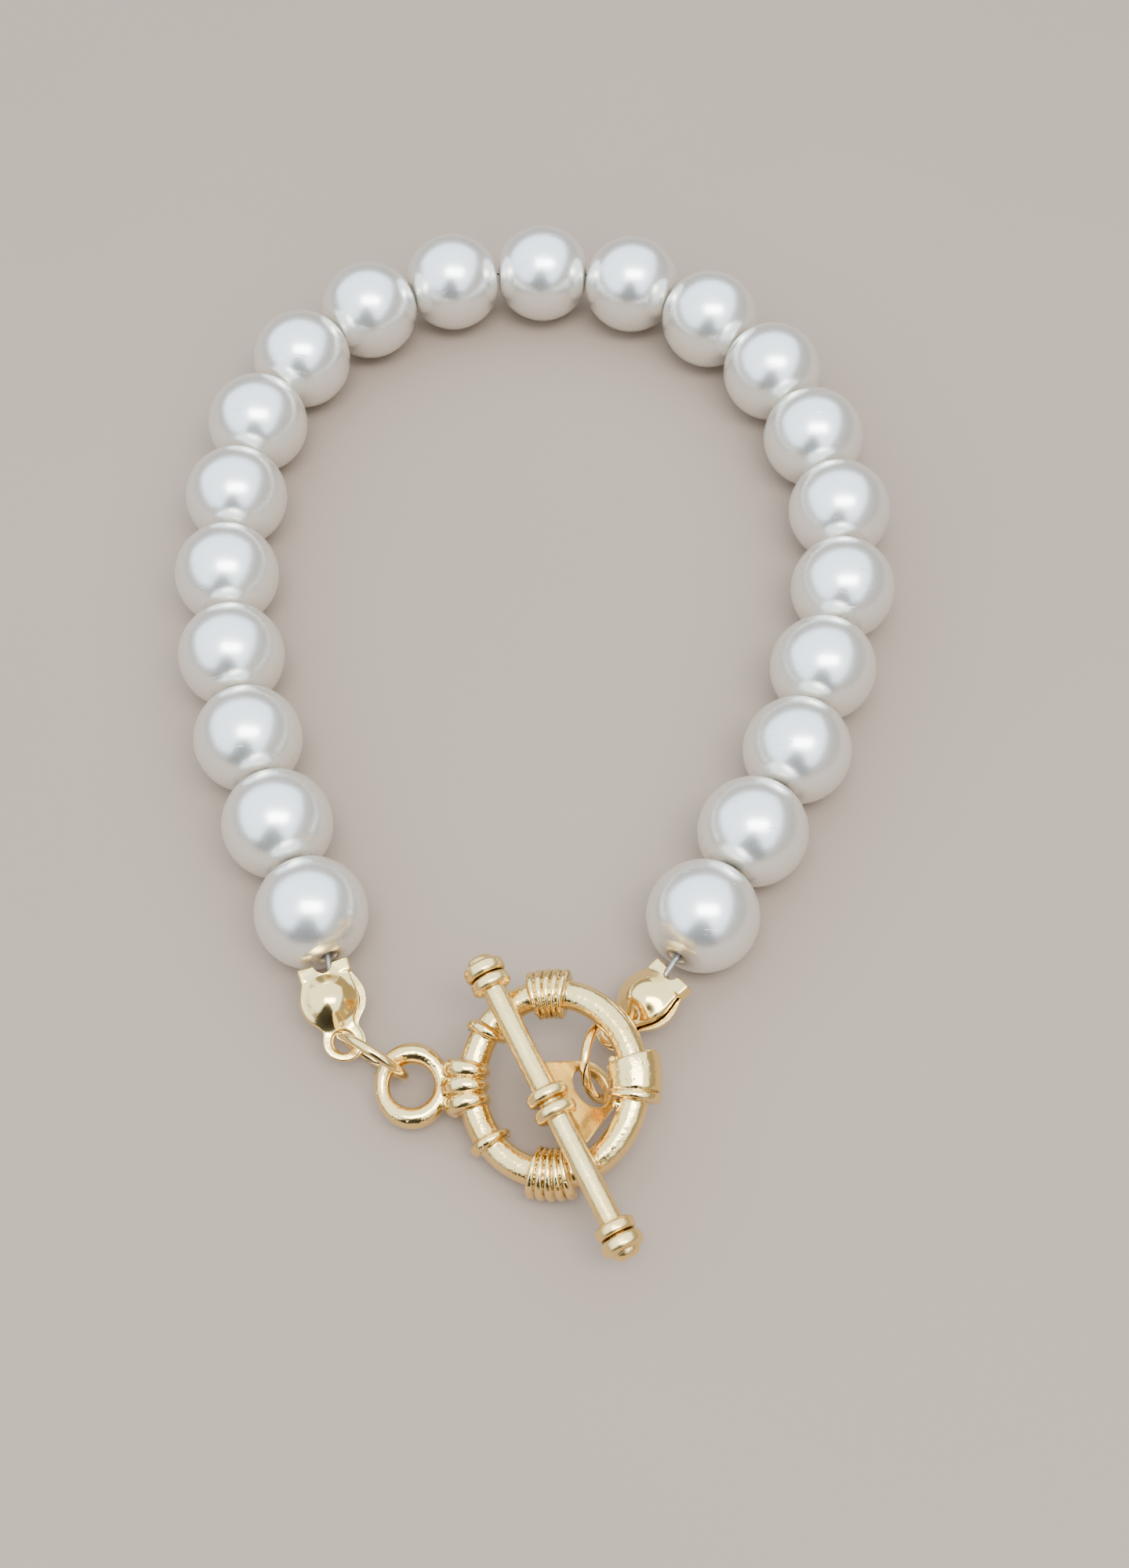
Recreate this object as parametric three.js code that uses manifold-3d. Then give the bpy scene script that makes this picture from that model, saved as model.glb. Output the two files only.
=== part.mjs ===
// A single-strand pearl bracelet, fastened with a toggle clasp and lying on a flat surface.
// Millimetres, +Z up. The strand lies in a loop of +Y, the clasp closes it at the -Y end.

import * as THREE from 'three';
import { mergeVertices } from 'three/addons/utils/BufferGeometryUtils.js';
import Module from 'manifold-3d';

const wasm = await Module();
wasm.setup();

// ---------- driving dimensions ----------

// pearls: round beads, slightly flattened along the drilled hole
const PEARL_COUNT = 21;
const PEARL_RADIUS = 4;
const PEARL_HALF_LENGTH = 3.8;
const PEARL_PITCH = 7.77;
const PEARL_SIDES = 16;
const PEARL_BANDS = 9;
const DRILL_RADIUS = 0.65;
const FIRST_PEARL = 3.95;

// the strand's route through the pearl centres, seen from above, from the bead tip on the
// clasp's ring side round to the one on its bar side
const ROUTE = [
  [-16.8, -14.4],
  [-17.8, -10.4],
  [-23.3, 3.8],
  [-26.2, 18.8],
  [-25.1, 34.3],
  [-22.1, 41.4],
  [-16.8, 47.1],
  [-9.5, 50.6],
  [-1.6, 51.6],
  [6, 50.2],
  [12.4, 46.1],
  [17.4, 40],
  [20.3, 32.8],
  [21.8, 25.4],
  [21.5, 17.7],
  [19.4, 10],
  [17, 2.7],
  [9.6, -11],
  [7.6, -15.1],
];

// stringing thread
const THREAD_RADIUS = 0.2;
const THREAD_QUARTER = 3;
const THREAD_STEPS = 128;
const THREAD_STRAIGHT = 3.1;
const KNOT_RADIUS = 0.7;
const KNOT_SIDES = 10;

// bead tips: a folded sheet whose two cups close over the knot, with a pair of round lugs
const SHEET = 0.3;
const SHEET_GAP = 0.14;
const FOLD_WIDTH = 3.6;
const FOLD_DEPTH = 2;
const CUP_AT = 2.45;
const CUP_SIDE = 0.2;
const CUP_RADIUS = 1.7;
const CUP_RIM = 1.85;
const NECK_WIDTH = 1.9;
const LUG_AT = 5.6;
const LUG_RADIUS = 1.37;
const LUG_HOLE = 0.8;
const LEAF_SKEW = 1;
const THREAD_NOTCH = 0.7;
const DISC_QUARTER = 5;
const CUP_SIDES = 20;
const HOLE_SIDES = 16;
const NOTCH_SIDES = 14;

// jump rings
const JUMP_RADIUS = 2.55;
const JUMP_WIRE = 0.33;
const JUMP_STEPS = 28;
const WIRE_SIDES = 8;

// toggle ring: an oval tube wound with raised bands, with a small oval loop at its side
const RING_HALF_X = 5.55;
const RING_HALF_Y = 6;
const RING_TUBE = 1;
const RING_SIDES = 10;
const RING_STEPS = 36;
const LOOP_AT_X = -9.69;
const LOOP_AT_Y = 0.55;
const LOOP_HALF_X = 2.03;
const LOOP_HALF_Y = 2.18;
const LOOP_TUBE = 0.6;
const LOOP_STEPS = 24;
const LOOP_LEVEL = 9;
const RIDGE_OVERLAP = 0.1;
const RIDGE_DEPTH = 0.35;
const RIDGE_SIDES = 14;

// raised bands of the toggle ring: angle round the oval, number and size of the ridges, how
// far they are slanted across the tube, and how far they stand out from the oval
const RING_BANDS = [
  { at: 89, ridges: 5, radius: 1.75, width: 0.47, slant: 0, out: 0 },
  { at: 141, ridges: 1, radius: 1.5, width: 0.75, slant: -6, out: 0 },
  { at: 178, ridges: 3, radius: 1.6, width: 1.05, slant: 0, out: 0.42 },
  { at: 217, ridges: 1, radius: 1.5, width: 0.75, slant: 6, out: 0 },
  { at: 265.5, ridges: 5, radius: 1.8, width: 0.52, slant: 0, out: 0 },
  { at: 1.6, ridges: 1, radius: 1.85, width: 2.25, slant: -2, out: 0 },
  { at: 348, ridges: 1, radius: 1.85, width: 0.6, slant: 0, out: 0 },
];

// toggle bar: a turned bar with collars, and a flat triangular lug at its middle
const BAR_HALF = 11.2;
const BAR_SIDES = 16;
const SHAFT_RADIUS = 0.8;
const BAR_RINGS = [
  { from: 0.15, to: 1.05, radius: 1.45 },
  { from: 8.7, to: 9.55, radius: 1.25 },
  { from: 9.8, to: 10.6, radius: 1.3 },
];
const DOME_RADIUS = 0.95;
const TAB_THICK = 0.8;
const TAB_BASE_HALF = 3.3;
const TAB_AT = 0.25;
const TAB_HOLE_AT = 3.75;
const TAB_TURN = 8;
const TAB_QUARTER = 8;
const TAB_HOLE = 1.45;
const TAB_RIM = 2.1;

// how the pieces of the clasp lie: position, heading, nose-down pitch and roll, in degrees
const LIES = {
  bead_tip_left: { at: [-16.75, -14.5, 3.7], heading: -71.5, pitch: 15, roll: 0 },
  bead_tip_right: { at: [7.6, -15.22, 3.75], heading: -138.5, pitch: 17, roll: 18 },
  jump_ring_left: { at: [-12.99, -21, 2.91], heading: -33, pitch: 0, roll: 13 },
  jump_ring_right: { at: [2.65, -21.28, 2.7], heading: 74, pitch: 0, roll: -26.3 },
  toggle_ring: { at: [-0.75, -23.4, 3.95], heading: 0, pitch: -11, roll: 17 },
  toggle_bar: { at: [-0.85, -25.6, 5.72], heading: -63.2, pitch: 7.7, roll: -35.5 },
};

// ---------- materials ----------

const pearlMaterial = new THREE.MeshStandardMaterial({ color: 0xece6dc, roughness: 0.25, metalness: 0 });
const goldMaterial = new THREE.MeshStandardMaterial({ color: 0xdcc27c, roughness: 0.25, metalness: 1 });
const threadMaterial = new THREE.MeshStandardMaterial({ color: 0xc9c7c2, roughness: 0.4, metalness: 0 });

// ---------- solids ----------

const radians = THREE.MathUtils.degToRad;
const MERGE_DISTANCE = 1e-5;

function toSolid(geometry) {
  const bare = geometry.index ? geometry.toNonIndexed() : geometry.clone();
  bare.deleteAttribute('normal');
  bare.deleteAttribute('uv');
  const merged = mergeVertices(bare, MERGE_DISTANCE);
  const vertProperties = new Float32Array(merged.attributes.position.array);
  const triVerts = new Uint32Array(merged.index.array);
  return new wasm.Manifold(new wasm.Mesh({ numProp: 3, vertProperties, triVerts }));
}

function toGeometry(solid) {
  const mesh = solid.getMesh();
  const geometry = new THREE.BufferGeometry();
  geometry.setAttribute('position', new THREE.BufferAttribute(mesh.vertProperties, mesh.numProp));
  geometry.setIndex(new THREE.BufferAttribute(mesh.triVerts, 1));
  return geometry;
}

function join(geometries) {
  return geometries.map(toSolid).reduce((whole, solid) => whole.add(solid));
}

// a body turned about the X axis from a profile of [along, radius] points
function turned(profile, sides) {
  const points = profile.map(([along, radius]) => new THREE.Vector2(radius, along));
  return new THREE.LatheGeometry(points, sides, Math.PI / sides).rotateZ(-Math.PI / 2);
}

// a plate of an outline in the XY plane, between two heights
function plate(shape, bottom, top, curveSegments) {
  const options = { depth: top - bottom, bevelEnabled: false, curveSegments };
  return new THREE.ExtrudeGeometry(shape, options).translate(0, 0, bottom);
}

// ---------- pearls and thread ----------

const route = new THREE.CatmullRomCurve3(ROUTE.map(([x, y]) => new THREE.Vector3(x, y, PEARL_RADIUS)));

// the places of the pearls, one pitch apart along the route
function pearlPlaces() {
  const length = route.getLength();
  return Array.from({ length: PEARL_COUNT }, (_, index) => {
    const share = (FIRST_PEARL + index * PEARL_PITCH) / length;
    return { centre: route.getPointAt(share), along: route.getTangentAt(share) };
  });
}

// a drilled pearl whose flat facets all touch its true surface from outside
function pearlGeometry() {
  const reach = Math.acos(DRILL_RADIUS / PEARL_RADIUS);
  const step = (2 * reach) / PEARL_BANDS;
  const widen = 1 / (Math.cos(Math.PI / PEARL_SIDES) * Math.cos(step / 2));
  const profile = [];
  for (let band = 0; band <= PEARL_BANDS; band += 1) {
    const angle = -reach + band * step;
    const radius = band % PEARL_BANDS === 0 ? DRILL_RADIUS : PEARL_RADIUS * Math.cos(angle) * widen;
    profile.push([PEARL_HALF_LENGTH * Math.sin(angle), radius]);
  }
  profile.push(profile[0]);
  return turned(profile, PEARL_SIDES);
}

function threadPath(places, ends) {
  const points = [ends[0]];
  for (const { centre, along } of places) {
    points.push(centre.clone().addScaledVector(along, -THREAD_STRAIGHT));
    points.push(centre.clone().addScaledVector(along, THREAD_STRAIGHT));
  }
  points.push(ends[1]);
  return new THREE.CatmullRomCurve3(points);
}

// one thread through every pearl, with a knot at each end
function threadGeometry(places, ends) {
  const section = new THREE.Shape().absarc(0, 0, THREAD_RADIUS, 0, 2 * Math.PI);
  const tube = new THREE.ExtrudeGeometry(section, {
    extrudePath: threadPath(places, ends),
    steps: THREAD_STEPS,
    curveSegments: THREAD_QUARTER,
  });
  const knots = ends.map((end) => (
    new THREE.SphereGeometry(KNOT_RADIUS, KNOT_SIDES, KNOT_SIDES).translate(...end.toArray())
  ));
  return toGeometry(join([tube, ...knots]));
}

// ---------- bead tips ----------

// an upright round post at the origin, higher than a bead tip is thick
function post(radius, sides) {
  return new THREE.CylinderGeometry(radius, radius, 2 * CUP_RADIUS, sides).rotateX(Math.PI / 2);
}

// a ball with its poles up and down
function ball(radius, sides) {
  return new THREE.SphereGeometry(radius, sides, sides / 2 + 2).rotateX(Math.PI / 2);
}

// one leaf of the folded sheet seen from above: fold, round rim, neck and lug
function leafOutlines() {
  const fold = new THREE.Shape();
  fold.moveTo(0, -FOLD_WIDTH / 2);
  fold.lineTo(FOLD_DEPTH, -FOLD_WIDTH / 2 + SHEET);
  fold.lineTo(FOLD_DEPTH, FOLD_WIDTH / 2 - SHEET);
  fold.lineTo(0, FOLD_WIDTH / 2);
  const rim = new THREE.Shape().absarc(CUP_AT, -CUP_SIDE, CUP_RIM, 0, 2 * Math.PI);
  const neck = new THREE.Shape();
  neck.moveTo(CUP_AT, -NECK_WIDTH / 2);
  neck.lineTo(LUG_AT, -NECK_WIDTH / 2);
  neck.lineTo(LUG_AT, NECK_WIDTH / 2);
  neck.lineTo(CUP_AT, NECK_WIDTH / 2);
  const lug = new THREE.Shape().absarc(LUG_AT, 0, LUG_RADIUS, 0, 2 * Math.PI);
  return [fold, rim, neck, lug];
}

// a leaf with its cup above the fold's middle plane, turned a little about the fold
function leaf(skew) {
  const inner = SHEET_GAP / 2;
  const outlines = leafOutlines().map((outline) => plate(outline, inner, inner + SHEET, DISC_QUARTER));
  const hole = post(LUG_HOLE, HOLE_SIDES).translate(LUG_AT, 0, 0);
  const below = new THREE.BoxGeometry(2 * LUG_AT, 2 * LUG_AT, 2 * CUP_RADIUS);
  return join([...outlines, ball(CUP_RADIUS, CUP_SIDES).translate(CUP_AT, -CUP_SIDE, 0)])
    .subtract(toSolid(below.translate(0, 0, inner - CUP_RADIUS)))
    .subtract(toSolid(ball(CUP_RADIUS - SHEET, HOLE_SIDES).translate(CUP_AT, -CUP_SIDE, 0)))
    .subtract(toSolid(hole))
    .rotate([0, 0, skew]);
}

// two leaves folded together, one above and one below, with a notch in the fold for the thread
function beadTipGeometry() {
  const depth = SHEET_GAP + 2 * SHEET;
  const fold = new THREE.BoxGeometry(SHEET, FOLD_WIDTH, depth).translate(SHEET / 2, 0, 0);
  const notch = post(THREAD_NOTCH, NOTCH_SIDES);
  const channel = new THREE.CylinderGeometry(THREAD_NOTCH, THREAD_NOTCH, CUP_AT, NOTCH_SIDES);
  return toGeometry(toSolid(fold)
    .add(leaf(-LEAF_SKEW))
    .add(leaf(-LEAF_SKEW).rotate([180, 0, 0]))
    .subtract(toSolid(notch))
    .subtract(toSolid(channel.rotateZ(Math.PI / 2).translate(CUP_AT / 2 - SHEET, 0, 0))));
}

// ---------- toggle ring ----------

// a closed tube along an oval, made from a round one by moving each section to its place
function ovalTube(halfX, halfY, tube, sides, steps) {
  const geometry = new THREE.TorusGeometry(1 + tube, tube, sides, steps);
  const position = geometry.attributes.position;
  for (let index = 0; index < position.count; index += 1) {
    const angle = Math.atan2(position.getY(index), position.getX(index));
    const outward = Math.hypot(position.getX(index), position.getY(index)) - 1 - tube;
    const normal = new THREE.Vector2(halfY * Math.cos(angle), halfX * Math.sin(angle)).normalize();
    position.setX(index, halfX * Math.cos(angle) + outward * normal.x);
    position.setY(index, halfY * Math.sin(angle) + outward * normal.y);
  }
  return geometry;
}

// one ridge round the tube, with bevelled flanks that run into its neighbours
function ridge({ radius, width, slant, out }, angle) {
  const reach = width / 2 + RIDGE_OVERLAP;
  const core = radius - RIDGE_DEPTH;
  const crest = width / 4;
  const flank = [[reach, core], [reach, 0]];
  const profile = [[-reach, 0], [-reach, core], [-crest, radius], [crest, radius], ...flank];
  const along = Math.atan2(RING_HALF_Y * Math.cos(angle), -RING_HALF_X * Math.sin(angle));
  const x = RING_HALF_X * Math.cos(angle) + out * Math.sin(along);
  const y = RING_HALF_Y * Math.sin(angle) - out * Math.cos(along);
  return turned(profile, RIDGE_SIDES).rotateZ(along + radians(slant)).translate(x, y, 0);
}

function bandRidges(band) {
  const middle = radians(band.at);
  const stride = band.width / Math.hypot(RING_HALF_X * Math.sin(middle), RING_HALF_Y * Math.cos(middle));
  return Array.from({ length: band.ridges }, (_, index) => (
    ridge(band, middle + (index - (band.ridges - 1) / 2) * stride)
  ));
}

function toggleRingGeometry() {
  const tube = ovalTube(RING_HALF_X, RING_HALF_Y, RING_TUBE, RING_SIDES, RING_STEPS);
  const loop = ovalTube(LOOP_HALF_X, LOOP_HALF_Y, LOOP_TUBE, WIRE_SIDES, LOOP_STEPS)
    .rotateY(radians(LOOP_LEVEL))
    .translate(LOOP_AT_X, LOOP_AT_Y, 0);
  return toGeometry(join([tube, loop, ...RING_BANDS.flatMap(bandRidges)]));
}

// ---------- toggle bar ----------

// half of the bar's profile, from the middle to the domed end
function barProfile() {
  const profile = [[0, SHAFT_RADIUS]];
  for (const { from, to, radius } of BAR_RINGS) {
    const chamfer = (to - from) / 4;
    profile.push([from, SHAFT_RADIUS], [from, radius - chamfer], [from + chamfer, radius]);
    profile.push([to - chamfer, radius], [to, radius - chamfer], [to, SHAFT_RADIUS]);
  }
  profile.push([BAR_HALF - DOME_RADIUS / 4, DOME_RADIUS / 2], [BAR_HALF, 0]);
  return profile;
}

function tabShape() {
  const shape = new THREE.Shape();
  const lean = Math.atan2(TAB_BASE_HALF, TAB_HOLE_AT);
  const turn = Math.PI / 2 - lean + Math.asin(TAB_RIM / Math.hypot(TAB_BASE_HALF, TAB_HOLE_AT));
  shape.moveTo(-TAB_BASE_HALF, 0);
  shape.lineTo(TAB_BASE_HALF, 0);
  shape.absarc(0, TAB_HOLE_AT, TAB_RIM, Math.PI / 2 - turn, Math.PI / 2 + turn);
  shape.holes.push(new THREE.Path().absarc(0, TAB_HOLE_AT, TAB_HOLE, 0, 2 * Math.PI, true));
  return shape;
}

function toggleBarGeometry() {
  const half = barProfile();
  const other = half.slice(1).reverse().map(([along, radius]) => [-along, radius]);
  const bar = turned([...other, ...half], BAR_SIDES);
  const tab = plate(tabShape(), -TAB_THICK / 2, TAB_THICK / 2, TAB_QUARTER)
    .rotateZ(radians(TAB_TURN))
    .translate(TAB_AT, 0, 0);
  return toGeometry(join([bar, tab]));
}

// ---------- assembly ----------

const lying = new THREE.Group();

function addPiece(name, geometry, material) {
  const mesh = new THREE.Mesh(geometry, material);
  mesh.name = name;
  lying.add(mesh);
  return mesh;
}

// sets a piece down with its X axis along the heading, nose down by the pitch, rolled about itself
function layDown(mesh, { at, heading, pitch, roll }) {
  mesh.position.set(...at);
  mesh.rotation.set(radians(roll), radians(pitch), radians(heading), 'ZYX');
  mesh.updateMatrixWorld();
  return mesh;
}

const places = pearlPlaces();
places.forEach(({ centre, along }, index) => {
  const pearl = addPiece(`pearl_${String(index + 1).padStart(2, '0')}`, pearlGeometry(), pearlMaterial);
  pearl.position.copy(centre);
  pearl.rotation.z = Math.atan2(along.y, along.x);
});

const beadTip = beadTipGeometry();
const beadTips = ['bead_tip_left', 'bead_tip_right'].map((name) => (
  layDown(addPiece(name, beadTip.clone(), goldMaterial), LIES[name])
));
const knots = beadTips.map((tip) => tip.localToWorld(new THREE.Vector3(CUP_AT, 0, 0)));
addPiece('thread', threadGeometry(places, knots), threadMaterial);

for (const name of ['jump_ring_left', 'jump_ring_right']) {
  const ring = new THREE.TorusGeometry(JUMP_RADIUS, JUMP_WIRE, WIRE_SIDES, JUMP_STEPS).rotateX(Math.PI / 2);
  layDown(addPiece(name, ring, goldMaterial), LIES[name]);
}
layDown(addPiece('toggle_ring', toggleRingGeometry(), goldMaterial), LIES.toggle_ring);
layDown(addPiece('toggle_bar', toggleBarGeometry(), goldMaterial), LIES.toggle_bar);

// the origin is at the middle of the whole bracelet's footprint, on the surface it lies on
const group = new THREE.Group();
group.add(lying);
const box = new THREE.Box3().setFromObject(group, true);
lying.position.set(-(box.min.x + box.max.x) / 2, -(box.min.y + box.max.y) / 2, 0);

export default group;
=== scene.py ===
"""A single-strand pearl bracelet, fastened with a gold-coloured toggle clasp, lying on a pale surface.

Metres, +Z up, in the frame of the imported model. The bracelet's sizes below are millimetres and become
metres by MM. The lights, the floor and the card are in metres.
"""
import math

import bpy
import numpy as np
from mathutils import Euler, Matrix, Vector


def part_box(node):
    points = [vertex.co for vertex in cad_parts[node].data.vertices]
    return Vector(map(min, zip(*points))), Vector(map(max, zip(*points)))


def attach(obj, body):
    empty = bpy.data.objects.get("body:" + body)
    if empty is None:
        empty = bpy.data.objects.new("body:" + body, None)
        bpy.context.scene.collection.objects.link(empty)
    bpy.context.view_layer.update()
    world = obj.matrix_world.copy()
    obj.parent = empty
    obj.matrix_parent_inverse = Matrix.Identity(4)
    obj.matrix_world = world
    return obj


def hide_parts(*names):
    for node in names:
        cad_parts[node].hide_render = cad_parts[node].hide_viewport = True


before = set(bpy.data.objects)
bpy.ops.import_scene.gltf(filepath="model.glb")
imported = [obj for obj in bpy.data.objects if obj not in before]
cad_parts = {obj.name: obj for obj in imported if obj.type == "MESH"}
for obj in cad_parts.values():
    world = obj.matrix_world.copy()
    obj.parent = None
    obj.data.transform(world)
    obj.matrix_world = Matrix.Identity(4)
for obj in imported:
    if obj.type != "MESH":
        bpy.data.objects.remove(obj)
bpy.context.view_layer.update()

MM = 0.001

# ---------- driving dimensions, in millimetres and degrees ----------

PEARLS = 21
PEARL_RADIUS = 4.0
PEARL_FLAT_AT = 3.6
PEARL_FLAT_RADIUS = 1.7
PEARL_END = 3.77
PEARL_HOLE = 0.6
PEARL_ROUND_FROM = 2.02
PEARL_STEPS = 56
PEARL_SIDES = 72

# steps of [along, radius] round a pearl's end: from its hole outwards, then over the edge of its flat
HOLE_LIP = ((-0.1, 0.0), (-0.03, 0.03), (0.0, 0.12), (-0.02, 0.3))
FLAT_EDGE = ((0.06, -0.35), (0.0, -0.05), (-0.045, 0.12), (-0.095, 0.22))

# the darker lacquer round a pearl's hole: its radius, its fade and how far along the pearl it starts
BORE_SHADE = 1.15
BORE_FADE = 0.4
BORE_FROM = 3

THREAD_RADIUS = 0.19
THREAD_STRAIGHT = 3.1
THREAD_SIDES = 12
THREAD_STEPS = 12

SHEET = 0.3
SHEET_GAP = 0.14
FOLD_WIDTH = 3.6
FOLD_DEPTH = 2.0
STRIP_DEPTH = 1.0
KNOT_AT = 2.45
CUP_AT = 2.58
CUP_SIDE = 0.2
CUP_RADIUS = 2.02
CUP_RIM = 1.85
NECK_WIDTH = 1.9
LUG_AT = 5.6
LUG_RADIUS = 1.37
LUG_HOLE = 0.8
LEAF_SKEW = 1.0
THREAD_NOTCH = 0.6
THREAD_WAY = 0.25
FOLD_HALF_HEIGHT = 0.5
CUP_SUNK = 0.6

# fillets and rounded edges of the bead tips
OUTLINE_FILLET = 0.6
CUP_FILLET = 0.7
FOLD_FILLET = 0.12
LEAF_FILLET = 0.02
FOLD_EDGE = 0.2
SHEET_EDGE = 0.16
LUG_HOLE_EDGE = 0.1
CUP_EDGE = 0.05
WAY_EDGE = 0.06

JUMP_RADIUS = 2.55
JUMP_WIRE = 0.33
SEAM_GAP = 0.08
SEAM_REACH = 2
SEAM_SLANT = 17.0
SEAM_EDGE = 0.05
SEAM_AT = {"jump_ring_left": 270, "jump_ring_right": 140}

RING_HALF_X = 5.55
RING_HALF_Y = 6.0
RING_TUBE = 1.0
LOOP_AT = (-9.69, 0.55)
LOOP_HALF_X = 2.03
LOOP_HALF_Y = 2.18
LOOP_TUBE = (0.54, 0.74)
LOOP_THICKEN = 0.85
LOOP_LEVEL = 9.0
LOOP_FILLET = 0.3
BAND_FILLET = 0.1
BAND_EDGE = 0.22
RIDGE_FOOT = 0.02
BIT_FILLET = 0.25

# raised bands of the toggle ring: angle round the oval, ridges, radius, width of a ridge,
# depth of the grooves between ridges, slant across the tube, and how far they stand out
BAND_COLUMNS = ("at", "ridges", "radius", "width", "groove", "slant", "out")
RING_BANDS = [dict(zip(BAND_COLUMNS, row)) for row in (
    (89, 5, 1.72, 0.49, 0.3, 0, 0),
    (141, 1, 1.48, 0.75, 0.3, -6, 0),
    (178, 3, 1.6, 1.05, 0.42, 0, 0.42),
    (217, 1, 1.48, 0.75, 0.3, 6, 0),
    (265.5, 5, 1.78, 0.54, 0.32, 0, 0),
    (1.6, 1, 1.82, 2.25, 0.04, -2, 0),
    (348, 1, 1.84, 0.62, 0.2, 0, 0),
)]

# bits left by the casting on the toggle ring: place and radius
CASTING_BITS = (
    ((4.25, -1.75, 0.55), 0.3),
    ((4.15, 1.2, 0.5), 0.26),
    ((-6.75, -1.5, 0.0), 0.3),
    ((-12.1, 1.5, -0.1), 0.24),
)

SHAFT_RADIUS = 0.8
SHAFT_HALF = 10.3
SHAFT_EDGE = 0.2
TAB_THICK = 0.8
TAB_BASE_HALF = 3.3
TAB_AT = 0.25
TAB_HOLE_AT = 3.75
TAB_TURN = 8.0
TAB_HOLE = 1.45
TAB_RIM = 2.1
TAB_FILLET = 0.25
TAB_EDGE = 0.2
TAB_HOLE_EDGE = 0.12

# turned rings of the toggle bar, on both halves: middle, half width, radius, rounding
BAR_RINGS = (
    (0.6, 0.44, 1.45, 0.36),
    (9.13, 0.44, 1.38, 0.32),
    (10.14, 0.5, 1.43, 0.36),
)
DOME = (10.55, 0.62, 0.95, 0.55)
BAR_FILLET = 0.1

# the box and the cell size in which each shape of the clasp is drawn as a net
NETS = {
    "bead_tip": ((-0.3, -2.4, -2.0), (7.3, 2.4, 2.0), 0.06),
    "toggle_ring": ((-12.8, -8.2, -2.2), (7.8, 8.2, 2.2), 0.08),
    "toggle_bar": ((-11.8, -1.9, -1.9), (11.8, 6.6, 1.9), 0.07),
}
JUMP_MARGIN = 0.1
JUMP_CELL = 0.045

# how a net is drawn onto its level: rounds, the part of a cell over which the slope is taken, the
# least square of the slope, and a length that keeps a division safe
NET_ROUNDS = 5
SLOPE_PART = 1 / 8
LEAST_SLOPE = 0.05
TINY = 1e-9

# rounds towards the nearest point of an oval
OVAL_ROUNDS = 3

# how the clasp's pieces lie: place, heading, nose-down pitch and roll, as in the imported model
LIES = {
    "bead_tip_left": ((-16.75, -14.5, 3.7), -71.5, 15, 0),
    "bead_tip_right": ((7.6, -15.22, 3.75), -138.5, 17, 18),
    "jump_ring_left": ((-12.99, -21, 2.91), -33, 0, 13),
    "jump_ring_right": ((2.65, -21.28, 2.7), 74, 0, -26.3),
    "toggle_ring": ((-0.75, -23.4, 3.95), 0, -11, 17),
    "toggle_bar": ((-0.85, -25.6, 5.72), -63.2, 7.7, -35.5),
}
BEAD_TIPS = ("bead_tip_left", "bead_tip_right")


def box_centre(node):
    low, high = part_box(node)
    return (low + high) / 2


# the clasp's own origin in the frame: the left jump ring's middle gives it
ORIGIN = box_centre("jump_ring_left") - Vector(LIES["jump_ring_left"][0]) * MM


def placement(name):
    at, heading, pitch, roll = LIES[name]
    turn = Euler([math.radians(angle) for angle in (roll, pitch, heading)], "XYZ")
    return Matrix.Translation(ORIGIN + Vector(at) * MM) @ turn.to_matrix().to_4x4()


# ---------- camera, light and floor ----------

CAMERA_AIM = Vector((0, 0, 4)) * MM
CAMERA_ELEVATION = math.radians(58.43)
CAMERA_DISTANCE = 147.54 * MM
CAMERA_LENS = 46.55
CAMERA_NEAR = 0.01

# soft lights that shine straight down: place, width and depth, power in watts, colour
LIGHTS = {
    "sky": ((-0.5, -0.17, 0.62), (2.77, 2.47), 64, (0.61, 0.78, 1.0)),
    "window": ((0.09, -0.2, 0.6), (0.47, 0.21), 4.6, (0.95, 0.97, 1.0)),
}
WORLD_COLOUR = (0.8, 0.74, 0.65, 1)
WORLD_STRENGTH = 0.66

FLOOR_REACH = 3.0
FLOOR_COLOUR = (0.3, 0.22, 0.157)
FLOOR_ROUGHNESS = 0.85

# a dark upright card behind the camera, which only reflections see: corners in X and Z, and its Y
CARD = ((-0.2, 0.0), (0.11, 0.0), (0.05, 0.36), (-0.03, 0.5), (-0.1, 0.36))
CARD_BEHIND = -0.26
CARD_COLOUR = (0.012, 0.01, 0.009)
CARD_ROUGHNESS = 0.95


def make_camera():
    data = bpy.data.cameras.new("camera")
    data.lens = CAMERA_LENS
    data.clip_start = CAMERA_NEAR
    camera = bpy.data.objects.new("camera", data)
    back = Vector((0, -math.cos(CAMERA_ELEVATION), math.sin(CAMERA_ELEVATION)))
    camera.location = ORIGIN + CAMERA_AIM + back * CAMERA_DISTANCE
    camera.rotation_euler = (math.pi / 2 - CAMERA_ELEVATION, 0, 0)
    bpy.context.collection.objects.link(camera)
    bpy.context.scene.camera = camera


def area_light(name, place, size, power, colour):
    data = bpy.data.lights.new(name, "AREA")
    data.shape = "RECTANGLE"
    data.size, data.size_y = size
    data.energy = power
    data.color = colour
    light = bpy.data.objects.new(name, data)
    light.location = place
    bpy.context.collection.objects.link(light)


def make_lights():
    for name, light in LIGHTS.items():
        area_light(name, *light)
    world = bpy.data.worlds.new("studio")
    world.use_nodes = True
    background = world.node_tree.nodes["Background"]
    background.inputs["Color"].default_value = WORLD_COLOUR
    background.inputs["Strength"].default_value = WORLD_STRENGTH
    bpy.context.scene.world = world


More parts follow.
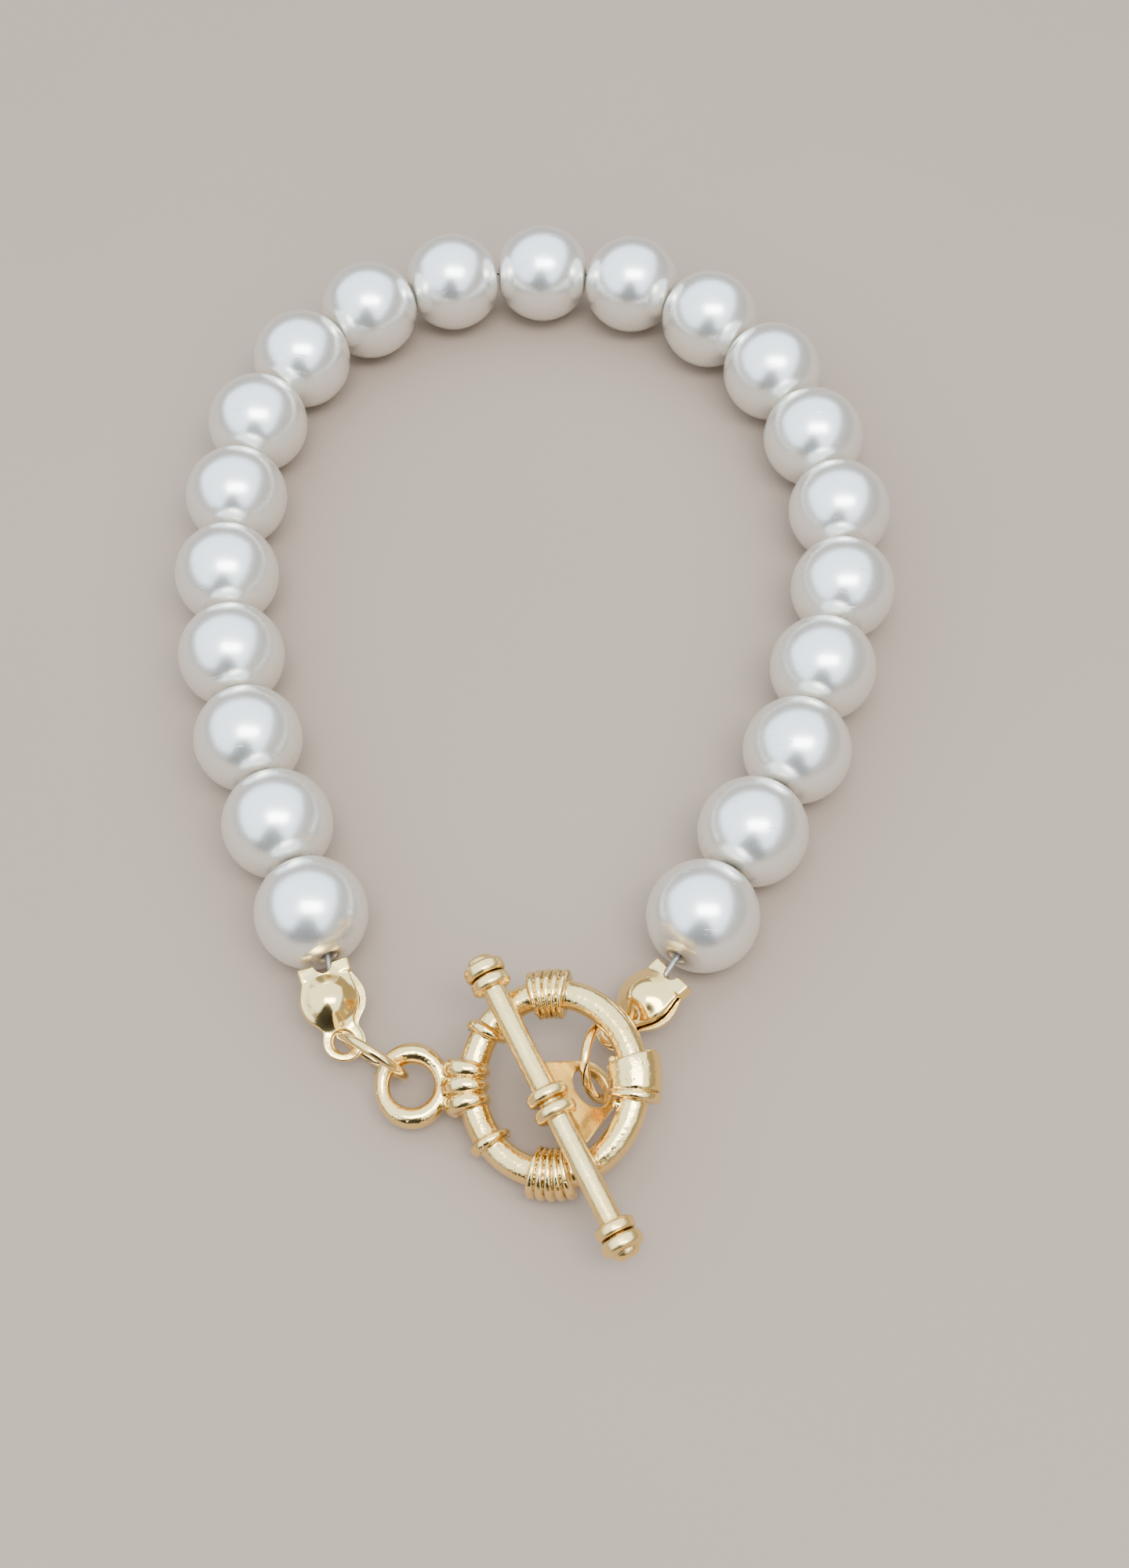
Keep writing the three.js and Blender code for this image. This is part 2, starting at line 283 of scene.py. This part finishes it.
def make_card():
    points = [(x, CARD_BEHIND, z) for x, z in CARD]
    card = mesh_object("dark_card", points, [range(len(points))])
    card.data.materials.append(plain_material("dark_card", CARD_COLOUR, CARD_ROUGHNESS))
    card.visible_camera = False
    card.visible_shadow = False
    card.visible_diffuse = False


def make_floor():
    corners = [(-FLOOR_REACH, -FLOOR_REACH, 0), (FLOOR_REACH, -FLOOR_REACH, 0),
               (FLOOR_REACH, FLOOR_REACH, 0), (-FLOOR_REACH, FLOOR_REACH, 0)]
    floor = mesh_object("floor", corners, [range(len(corners))])
    floor.data.materials.append(plain_material("floor", FLOOR_COLOUR, FLOOR_ROUGHNESS))


# ---------- meshes ----------

def mesh_object(name, points, faces):
    mesh = bpy.data.meshes.new(name)
    mesh.from_pydata([tuple(p) for p in points], [], [tuple(f) for f in faces])
    mesh.validate()
    piece = bpy.data.objects.new(name, mesh)
    bpy.context.collection.objects.link(piece)
    return piece


def grid_faces(rows, columns, closed_rows):
    """Quads over a grid of points whose columns close on themselves, and whose rows may."""
    strips = rows if closed_rows else rows - 1
    row, column = np.meshgrid(np.arange(strips), np.arange(columns), indexing="ij")
    after_row, after_column = (row + 1) % rows, (column + 1) % columns
    corners = (row * columns + column, row * columns + after_column,
               after_row * columns + after_column, after_row * columns + column)
    return np.stack(corners, axis=-1).reshape(-1, 4)


def lathe(profile, sides):
    """Points and faces of a ring-shaped body turned about X from a closed [along, radius] profile."""
    profile = np.array(profile)
    angle = np.linspace(0, 2 * math.pi, sides, endpoint=False)
    along = np.repeat(profile[:, :1], sides, axis=1)
    points = np.stack([along, profile[:, 1:] * np.cos(angle), profile[:, 1:] * np.sin(angle)], axis=-1)
    return points.reshape(-1, 3), grid_faces(len(profile), sides, True)


def tube(path, radius, sides):
    """Points and faces of a round tube along a path of points, with flat ends."""
    path = np.array(path)
    along = np.gradient(path, axis=0)
    along /= np.linalg.norm(along, axis=1)[:, None]
    side = np.cross(along, (0.0, 0.0, 1.0))
    side /= np.linalg.norm(side, axis=1)[:, None]
    lift = np.cross(side, along)
    angle = np.linspace(0, 2 * math.pi, sides, endpoint=False)
    ring = side[:, None] * np.cos(angle)[:, None] + lift[:, None] * np.sin(angle)[:, None]
    points = (path[:, None] + radius * ring).reshape(-1, 3)
    faces = [tuple(face) for face in grid_faces(len(path), sides, False)]
    last = (len(path) - 1) * sides
    faces += [tuple(range(sides))[::-1], tuple(range(last, last + sides))]
    return points, faces


def slope(field, points, step):
    """The gradient of a field at some points."""
    parts = []
    for axis in range(3):
        shift = np.zeros(3)
        shift[axis] = step
        parts.append(field(*(points + shift).T) - field(*(points - shift).T))
    return np.stack(parts, axis=-1) / (2 * step)


def net(field, low, high, cell):
    """Points and quads of a field's zero level: a surface net, drawn onto the level itself."""
    axes = [np.arange(a, b + cell, cell) for a, b in zip(low, high)]
    inside = field(*np.meshgrid(*axes, indexing="ij")) < 0
    count = sum(inside[i:i - 1 or None, j:j - 1 or None, k:k - 1 or None].astype(np.int8)
                for i in (0, 1) for j in (0, 1) for k in (0, 1))
    mixed = (count > 0) & (count < 8)
    index = np.full(mixed.shape, -1)
    index[mixed] = np.arange(mixed.sum())
    points = np.array(low) + (np.argwhere(mixed) + 0.5) * cell
    for _ in range(NET_ROUNDS):
        gradient = slope(field, points, cell * SLOPE_PART)
        square = np.maximum((gradient ** 2).sum(1), LEAST_SLOPE)
        move = gradient * (field(*points.T) / square)[:, None]
        size = np.maximum(np.linalg.norm(move, axis=1), TINY)
        points = points - move * np.minimum(1, cell / 2 / size)[:, None]
    faces = []
    for axis in range(3):
        change = np.diff(inside.astype(np.int8), axis=axis)
        spots = np.argwhere(change)
        u, v = np.eye(3, dtype=int)[[(axis + 1) % 3, (axis + 2) % 3]]
        around = [spots - u - v, spots - v, spots, spots - u]
        quads = np.stack([index[tuple(cells.T)] for cells in around], axis=1)
        entering = change[tuple(spots.T)] > 0
        quads[entering] = quads[entering][:, ::-1]
        faces.append(quads)
    return points, np.concatenate(faces)


def blend(a, b, width):
    """The union of two fields with a fillet."""
    share = np.clip(0.5 + 0.5 * (b - a) / width, 0, 1)
    return b * (1 - share) + a * share - width * share * (1 - share)


def trim(a, b, width):
    """What two fields have in common, with a rounded edge."""
    return -blend(-a, -b, width)


def rounded_disc(x, radial, middle, half, radius, edge):
    """A round disc about X with rounded edges."""
    out_x = np.abs(x - middle) - half + edge
    out_r = radial - radius + edge
    within = np.minimum(np.maximum(out_x, out_r), 0)
    return within + np.hypot(np.maximum(out_x, 0), np.maximum(out_r, 0)) - edge


def finish_piece(piece, node, material):
    for face in piece.data.polygons:
        face.use_smooth = True
    piece.data.materials.append(material)
    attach(piece, "root")
    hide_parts(node)


def place_piece(node, points, faces, material):
    """A piece from points in millimetres in its own frame, set down where the node lies."""
    piece = mesh_object(node + "_piece", np.array(points) * MM, faces)
    piece.matrix_world = placement(node)
    finish_piece(piece, node, material)


# ---------- materials ----------

PEARL_IVORY = (0.89, 0.855, 0.77)
PEARL_PALE = (0.92, 0.885, 0.81)
PEARL_BORE = (0.62, 0.54, 0.42)
PINHOLE = (0.45, 0.42, 0.38)
GOLD_DEEP = (0.94, 0.65, 0.23)
GOLD_PALE = (0.97, 0.72, 0.3)
# painted shade of the gold's grooves and corners: its dark brown, how far round it looks and how many
# samples it takes
GOLD_PAINTED_SHADE = (0.22, 0.15, 0.09)
PAINTED_SHADE_REACH = 0.4
PAINTED_SHADE_SAMPLES = 8
THREAD_DARK = (0.2, 0.18, 0.155)
THREAD_LIGHT = (0.36, 0.335, 0.3)

# finishes of the gold: roughness, depth of its relief, share of pits and, on the turned bar,
# how fine its grain is along each axis
GOLDS = {
    "gold_sheet": (0.14, 0.01, 0.0, None),
    "gold_cast": (0.12, 0.04, 0.7, None),
    "gold_satin": (0.24, 0.02, 0.35, (0.5, 9.0, 9.0)),
    "gold_wire": (0.13, 0.01, 0.0, None),
}
GRAIN_RELIEF = 0.012
MOTTLE = 0.97


class Nodes:
    """Short ways to add nodes to a material."""

    def __init__(self, name):
        self.material = bpy.data.materials.new(name)
        self.material.use_nodes = True
        self.tree = self.material.node_tree
        self.shader = self.tree.nodes["Principled BSDF"]
        self.place = self.tree.nodes.new("ShaderNodeTexCoord").outputs["Object"]

    def set(self, **values):
        for name, value in values.items():
            self.shader.inputs[name.replace("_", " ")].default_value = value

    def link(self, source, target):
        self.tree.links.new(source, target)

    def scaled(self, factors):
        """The place in millimetres times a factor along each axis."""
        node = self.tree.nodes.new("ShaderNodeMapping")
        node.inputs["Scale"].default_value = [factor / MM for factor in factors]
        self.link(self.place, node.inputs["Vector"])
        return node.outputs["Vector"]

    def noise(self, factors, detail=2.0, roughness=0.5, distortion=0.0):
        node = self.tree.nodes.new("ShaderNodeTexNoise")
        node.inputs["Scale"].default_value = 1
        node.inputs["Detail"].default_value = detail
        node.inputs["Roughness"].default_value = roughness
        node.inputs["Distortion"].default_value = distortion
        self.link(self.scaled(factors), node.inputs["Vector"])
        return node.outputs["Fac"]

    def spots(self, factors):
        node = self.tree.nodes.new("ShaderNodeTexVoronoi")
        node.inputs["Scale"].default_value = 1
        self.link(self.scaled(factors), node.inputs["Vector"])
        return node.outputs["Distance"]

    def ramp(self, source, stops):
        node = self.tree.nodes.new("ShaderNodeValToRGB")
        while len(node.color_ramp.elements) < len(stops):
            node.color_ramp.elements.new(1)
        for element, (at, colour) in zip(node.color_ramp.elements, stops):
            element.position = at
            element.color = (*colour, 1) if isinstance(colour, tuple) else (colour, colour, colour, 1)
        self.link(source, node.inputs["Fac"])
        return node.outputs["Color"]

    def math(self, operation, a, b):
        node = self.tree.nodes.new("ShaderNodeMath")
        node.operation = operation
        for socket, value in zip(node.inputs, (a, b)):
            if isinstance(value, (int, float)):
                socket.default_value = value
            else:
                self.link(value, socket)
        return node.outputs[0]

    def mix(self, kind, factor, a, b):
        node = self.tree.nodes.new("ShaderNodeMix")
        node.data_type = "RGBA"
        node.blend_type = kind
        for socket, value in zip((node.inputs[0], node.inputs[6], node.inputs[7]), (factor, a, b)):
            if isinstance(value, tuple):
                socket.default_value = (*value, 1)
            elif isinstance(value, (int, float)):
                socket.default_value = value
            else:
                self.link(value, socket)
        return node.outputs[2]

    def openness(self, reach):
        """How open the surface lies within a reach in millimetres: low in grooves and corners."""
        node = self.tree.nodes.new("ShaderNodeAmbientOcclusion")
        node.inputs["Distance"].default_value = reach * MM
        node.samples = PAINTED_SHADE_SAMPLES
        return node.outputs["AO"]

    def attribute(self, name):
        node = self.tree.nodes.new("ShaderNodeAttribute")
        node.attribute_name = name
        return node.outputs["Fac"]

    def bump(self, height, distance, normal=None):
        node = self.tree.nodes.new("ShaderNodeBump")
        node.inputs["Strength"].default_value = 1
        node.inputs["Distance"].default_value = distance * MM
        self.link(height, node.inputs["Height"])
        if normal is not None:
            self.link(normal, node.inputs["Normal"])
        return node.outputs["Normal"]


def plain_material(name, colour, roughness):
    """A matt stage material with a slight mottle."""
    nodes = Nodes(name)
    darker = tuple(part * MOTTLE for part in colour)
    shade = nodes.ramp(nodes.noise((0.02, 0.02, 0.02)), ((0.3, darker), (0.7, colour)))
    nodes.link(shade, nodes.shader.inputs["Base Color"])
    nodes.set(Roughness=roughness)
    return nodes.material


def pearl_material():
    """Pearlescent lacquer: ivory body, soft metallic lustre, a clear coat, fine scratches and pinholes."""
    nodes = Nodes("pearl_lacquer")
    body = nodes.ramp(nodes.noise((0.16, 0.16, 0.16), 1.0), ((0.3, PEARL_IVORY), (0.7, PEARL_PALE)))
    body = nodes.mix("MIX", nodes.attribute("near_hole"), body, PEARL_BORE)
    pinholes = nodes.ramp(nodes.spots((0.5, 0.5, 0.5)), ((0.0, 1.0), (0.05, 0.0)))
    body = nodes.mix("MULTIPLY", nodes.math("MULTIPLY", pinholes, 0.5), body, PINHOLE)
    nodes.link(body, nodes.shader.inputs["Base Color"])
    gloss = nodes.ramp(nodes.noise((0.5, 0.5, 0.5), 3.0), ((0.3, 0.26), (0.7, 0.29)))
    nodes.link(gloss, nodes.shader.inputs["Roughness"])
    nodes.set(Metallic=0.88, Coat_Weight=0.25, Coat_Roughness=0.08, Coat_IOR=1.5)
    lines = nodes.noise((0.3, 5.0, 0.3), detail=1.0, roughness=0.4, distortion=0.6)
    scratches = nodes.ramp(lines, ((0.725, 0.0), (0.75, 1.0)))
    skin = nodes.noise((2.2, 2.2, 2.2), 3.0)
    marks = nodes.math("ADD", scratches, pinholes)
    height = nodes.math("SUBTRACT", nodes.math("MULTIPLY", skin, 0.5), marks)
    nodes.link(nodes.bump(height, 0.008), nodes.shader.inputs["Normal"])
    return nodes.material


def gold_material(name, roughness, relief, pits, grain):
    """Champagne-coloured plating with painted shade in its hollows, uneven gloss, pits and grain."""
    nodes = Nodes(name)
    tone = nodes.ramp(nodes.noise((0.6, 0.6, 0.6), 3.0), ((0.3, GOLD_DEEP), (0.7, GOLD_PALE)))
    # painted shade: the gold is multiplied towards dark brown where grooves and corners close it in
    depth = nodes.ramp(nodes.openness(PAINTED_SHADE_REACH), ((0.2, 1.0), (0.85, 0.0)))
    tone = nodes.mix("MULTIPLY", nodes.math("MULTIPLY", depth, 0.8), tone, GOLD_PAINTED_SHADE)
    nodes.link(tone, nodes.shader.inputs["Base Color"])
    smooth, rough = roughness * 0.75, roughness * 1.35
    worn = nodes.ramp(nodes.noise((1.3, 1.3, 1.3), 4.0), ((0.35, smooth), (0.7, rough)))
    nodes.link(worn, nodes.shader.inputs["Roughness"])
    nodes.set(Metallic=1.0)
    casting = nodes.noise((2.6, 2.6, 2.6), 4.0, 0.55)
    holes = nodes.ramp(nodes.spots((1.6, 1.6, 1.6)), ((0.06, 1.0), (0.16, 0.0)))
    height = nodes.math("SUBTRACT", casting, nodes.math("MULTIPLY", holes, pits))
    normal = nodes.bump(height, relief)
    if grain:
        normal = nodes.bump(nodes.noise(grain, 3.0, 0.6), GRAIN_RELIEF, normal)
    nodes.link(normal, nodes.shader.inputs["Normal"])
    return nodes.material


def thread_material():
    nodes = Nodes("thread")
    tone = nodes.ramp(nodes.noise((3, 3, 3)), ((0.3, THREAD_DARK), (0.7, THREAD_LIGHT)))
    nodes.link(tone, nodes.shader.inputs["Base Color"])
    nodes.set(Roughness=0.25, Metallic=0.6)
    nodes.link(nodes.bump(nodes.noise((6, 6, 6)), 0.02), nodes.shader.inputs["Normal"])
    return nodes.material


# ---------- pearls and thread ----------

def pearl_profile():
    """[along, radius] round a drilled pearl's section: one end, the outside, then the other end."""
    reach = math.asin(PEARL_ROUND_FROM / PEARL_RADIUS)
    outside = [(PEARL_RADIUS * math.cos(angle), PEARL_RADIUS * math.sin(angle))
               for angle in np.linspace(reach, math.pi - reach, PEARL_STEPS)]
    end = [(PEARL_END + along, PEARL_HOLE + out) for along, out in HOLE_LIP]
    end += [(PEARL_FLAT_AT + along, PEARL_FLAT_RADIUS + out) for along, out in FLAT_EDGE]
    other = [(-along, radius) for along, radius in reversed(end)]
    return end + outside + other


def pearl_axes():
    """Middle and direction of each pearl, from its neighbours' middles."""
    middles = [box_centre(f"pearl_{index + 1:02d}") for index in range(PEARLS)]
    axes = []
    for index, middle in enumerate(middles):
        before, after = middles[max(index - 1, 0)], middles[min(index + 1, PEARLS - 1)]
        axes.append((after - before).normalized())
    # the first and last pearl turn on by half a step, as the strand does
    axes[0] = (2 * axes[0] - axes[1]).normalized()
    axes[-1] = (2 * axes[-1] - axes[-2]).normalized()
    return list(zip(middles, axes))


def make_pearls(strand):
    material = pearl_material()
    points, faces = lathe(pearl_profile(), PEARL_SIDES)
    closeness = np.clip((BORE_SHADE - np.hypot(points[:, 1], points[:, 2])) / BORE_FADE, 0, 1)
    closeness *= np.abs(points[:, 0]) > BORE_FROM
    for index, (middle, axis) in enumerate(strand):
        name = f"pearl_{index + 1:02d}"
        turn = axis.to_track_quat("X", "Z").to_matrix()
        placed = points @ np.array(turn).T * MM + np.array(middle)
        pearl = mesh_object(name + "_piece", placed, faces)
        shade = pearl.data.attributes.new("near_hole", "FLOAT", "POINT")
        shade.data.foreach_set("value", closeness.astype(np.float32))
        finish_piece(pearl, name, material)


def make_thread(strand):
    knots = [placement(name) @ Vector((KNOT_AT * MM, 0, 0)) for name in BEAD_TIPS]
    points = [knots[0]]
    for middle, axis in strand:
        points += [middle - axis * THREAD_STRAIGHT * MM, middle + axis * THREAD_STRAIGHT * MM]
    points.append(knots[1])
    points = np.array(points)
    spans = len(points) - 1
    steps = np.linspace(0, spans, THREAD_STEPS * spans + 1)
    path = np.stack([smooth_track(points[:, axis], steps) for axis in range(3)], axis=1)
    thread = mesh_object("thread_piece", *tube(path, THREAD_RADIUS * MM, THREAD_SIDES))
    finish_piece(thread, "thread", thread_material())


def smooth_track(values, steps):
    """A Catmull-Rom curve through equally spaced values."""
    padded = np.concatenate([[2 * values[0] - values[1]], values, [2 * values[-1] - values[-2]]])
    base = np.minimum(steps.astype(int), len(values) - 2)
    t = steps - base
    a, b, c, d = (padded[base + offset] for offset in range(4))
    squared, cubed = (2 * a - 5 * b + 4 * c - d) * t ** 2, (3 * b - a - 3 * c + d) * t ** 3
    return 0.5 * (2 * b + (c - a) * t + squared + cubed)


# ---------- bead tips ----------

def leaf_field(x, y, z):
    """One leaf of the folded sheet, with its cup up."""
    turn = math.radians(-LEAF_SKEW)
    x, y = x * math.cos(turn) + y * math.sin(turn), y * math.cos(turn) - x * math.sin(turn)
    side = y + CUP_SIDE
    taper = np.abs(y) - FOLD_WIDTH / 2 + SHEET * x / FOLD_DEPTH
    fold = np.maximum(np.abs(x - FOLD_DEPTH / 2) - FOLD_DEPTH / 2, taper)
    rim = np.hypot(x - CUP_AT, side) - CUP_RIM
    along_neck = np.abs(x - (CUP_AT + LUG_AT) / 2) - (LUG_AT - CUP_AT) / 2
    neck = np.maximum(along_neck, np.abs(y) - NECK_WIDTH / 2)
    from_hole = np.hypot(x - LUG_AT, y)
    front = blend(neck, from_hole - LUG_RADIUS, OUTLINE_FILLET)
    outline = blend(blend(fold, rim, OUTLINE_FILLET), front, OUTLINE_FILLET)
    outline = trim(outline, LUG_HOLE - from_hole, LUG_HOLE_EDGE)
    middle = SHEET_GAP / 2 + SHEET / 2
    plate = trim(outline, np.abs(z - middle) - SHEET / 2, SHEET_EDGE)
    ball = np.sqrt((x - CUP_AT) ** 2 + side ** 2 + (z + CUP_SUNK) ** 2)
    leaf = np.maximum(blend(plate, ball - CUP_RADIUS, CUP_FILLET), SHEET_GAP / 2 - z)
    return trim(leaf, CUP_RADIUS - SHEET - ball, CUP_EDGE)


def bead_tip_field(x, y, z):
    """Two leaves folded together, with a half-round notch and a way in for the thread."""
    half = STRIP_DEPTH / 2
    fold = rounded_box(x - half, y, z, (half, FOLD_WIDTH / 2, FOLD_HALF_HEIGHT), FOLD_EDGE)
    leaves = blend(leaf_field(x, y, z), leaf_field(x, -y, -z), LEAF_FILLET)
    body = blend(leaves, fold, FOLD_FILLET)
    way = np.maximum(np.hypot(y, z) - THREAD_WAY, x - CUP_AT)
    return trim(trim(body, THREAD_NOTCH - np.hypot(x, y), SHEET_EDGE), -way, WAY_EDGE)


def rounded_box(x, y, z, halves, edge):
    """A box about the origin with rounded edges, from half its size along each axis."""
    out = [np.abs(value) - half + edge for value, half in zip((x, y, z), halves)]
    beyond = np.sqrt(sum(np.maximum(part, 0) ** 2 for part in out))
    return beyond + np.minimum(np.maximum(np.maximum(out[0], out[1]), out[2]), 0) - edge


def make_bead_tips(material):
    points, faces = net(bead_tip_field, *NETS["bead_tip"])
    for name in BEAD_TIPS:
        place_piece(name, points, faces, material)


# ---------- jump rings ----------

def jump_ring_field(cut_at):
    """A round wire bent to a ring, cut on a slant at an angle on the ring."""
    slant = math.radians(SEAM_SLANT)

    def field(x, y, z):
        ring = np.hypot(np.hypot(x, z) - JUMP_RADIUS, y) - JUMP_WIRE
        turned = (np.arctan2(z, x) - math.radians(cut_at) + math.pi) % (2 * math.pi) - math.pi
        along = turned * JUMP_RADIUS
        seam = np.abs(along * math.sin(slant) - y * math.cos(slant))
        return trim(ring, SEAM_GAP / 2 - np.maximum(seam, np.abs(along) - SEAM_REACH), SEAM_EDGE)

    return field


def make_jump_rings(material):
    reach = JUMP_RADIUS + JUMP_WIRE + JUMP_MARGIN
    side = JUMP_WIRE + JUMP_MARGIN
    for name, cut_at in SEAM_AT.items():
        field = jump_ring_field(cut_at)
        points, faces = net(field, (-reach, -side, -reach), (reach, side, reach), JUMP_CELL)
        place_piece(name, points, faces, material)


# ---------- toggle ring ----------

def oval_place(x, y, half_x, half_y):
    """Angle round an oval of the nearest point of its line, and the distance outwards from it."""
    angle = np.arctan2(y * half_x, x * half_y)
    rate = np.maximum(np.hypot(x * half_x, y * half_y), half_x * half_y / 2)
    for _ in range(OVAL_ROUNDS):
        off_x, off_y = half_x * np.cos(angle) - x, half_y * np.sin(angle) - y
        pull = -off_x * half_x * np.sin(angle) + off_y * half_y * np.cos(angle)
        angle = angle - pull / rate
    normal_x, normal_y = half_y * np.cos(angle), half_x * np.sin(angle)
    out_x, out_y = x - half_x * np.cos(angle), y - half_y * np.sin(angle)
    return angle, (out_x * normal_x + out_y * normal_y) / np.hypot(normal_x, normal_y)


def band_field(angle, outward, z, band):
    """One raised band: rounded ridges side by side round the tube."""
    middle = math.radians(band["at"])
    speed = math.hypot(RING_HALF_X * math.sin(middle), RING_HALF_Y * math.cos(middle))
    turned = (angle - middle + math.pi) % (2 * math.pi) - math.pi
    along = turned * speed + math.tan(math.radians(band["slant"])) * outward
    half = band["ridges"] * band["width"] / 2
    phase = ((along + half) / band["width"]) % 1 * 2 - 1
    crest = np.sqrt(np.clip(1 - phase ** 2, RIDGE_FOOT, 1))
    radius = band["radius"] - band["groove"] * (1 - crest)
    return trim(np.hypot(outward - band["out"], z) - radius, np.abs(along) - half, BAND_EDGE)


def toggle_ring_field(x, y, z):
    angle, outward = oval_place(x, y, RING_HALF_X, RING_HALF_Y)
    body = np.hypot(outward, z) - RING_TUBE
    for band in RING_BANDS:
        body = blend(body, band_field(angle, outward, z, band), BAND_FILLET)
    level = math.radians(LOOP_LEVEL)
    loop_x, loop_y = x - LOOP_AT[0], y - LOOP_AT[1]
    flat_x = loop_x * math.cos(level) - z * math.sin(level)
    lift = loop_x * math.sin(level) + z * math.cos(level)
    angle, outward = oval_place(flat_x, loop_y, LOOP_HALF_X, LOOP_HALF_Y)
    thin, thick = LOOP_TUBE
    loop = np.hypot(outward, lift * LOOP_THICKEN) - thin - (thick - thin) * np.sin(angle) ** 2
    body = blend(body, loop, LOOP_FILLET)
    for (bit_x, bit_y, bit_z), radius in CASTING_BITS:
        bit = np.sqrt((x - bit_x) ** 2 + (y - bit_y) ** 2 + (z - bit_z) ** 2) - radius
        body = blend(body, bit, BIT_FILLET)
    return body


def make_toggle_ring(material):
    points, faces = net(toggle_ring_field, *NETS["toggle_ring"])
    place_piece("toggle_ring", points, faces, material)


# ---------- toggle bar ----------

def tab_outline(x, y):
    """The lug seen flat: from its foot on the bar it narrows to a round rim about its hole."""
    turn = math.radians(TAB_TURN)
    x = x - TAB_AT
    x, y = x * math.cos(turn) + y * math.sin(turn), y * math.cos(turn) - x * math.sin(turn)
    lean = math.atan2(TAB_BASE_HALF, TAB_HOLE_AT)
    swing = math.pi / 2 - lean + math.asin(TAB_RIM / math.hypot(TAB_BASE_HALF, TAB_HOLE_AT))
    up = y - TAB_HOLE_AT
    flank = np.abs(x) * math.sin(swing) + up * math.cos(swing)
    on_arc = np.arctan2(np.abs(x), up) < swing
    reach = np.hypot(x, up)
    outline = np.where(on_arc, reach, flank) - TAB_RIM
    return trim(np.maximum(outline, -y), TAB_HOLE - reach, TAB_HOLE_EDGE)


def toggle_bar_field(x, y, z):
    radial = np.hypot(y, z)
    half = np.abs(x)
    shaft = rounded_disc(x, radial, 0, SHAFT_HALF, SHAFT_RADIUS, SHAFT_EDGE)
    body = blend(shaft, trim(tab_outline(x, y), np.abs(z) - TAB_THICK / 2, TAB_EDGE), TAB_FILLET)
    for ring in (*BAR_RINGS, DOME):
        body = blend(body, rounded_disc(half, radial, *ring), BAR_FILLET)
    return body


def make_toggle_bar(material):
    points, faces = net(toggle_bar_field, *NETS["toggle_bar"])
    place_piece("toggle_bar", points, faces, material)


# ---------- the bracelet ----------

make_camera()
make_lights()
make_card()
make_floor()

strand = pearl_axes()
make_pearls(strand)
make_thread(strand)

golds = {name: gold_material(name, *finish) for name, finish in GOLDS.items()}
make_bead_tips(golds["gold_sheet"])
make_jump_rings(golds["gold_wire"])
make_toggle_ring(golds["gold_cast"])
make_toggle_bar(golds["gold_satin"])
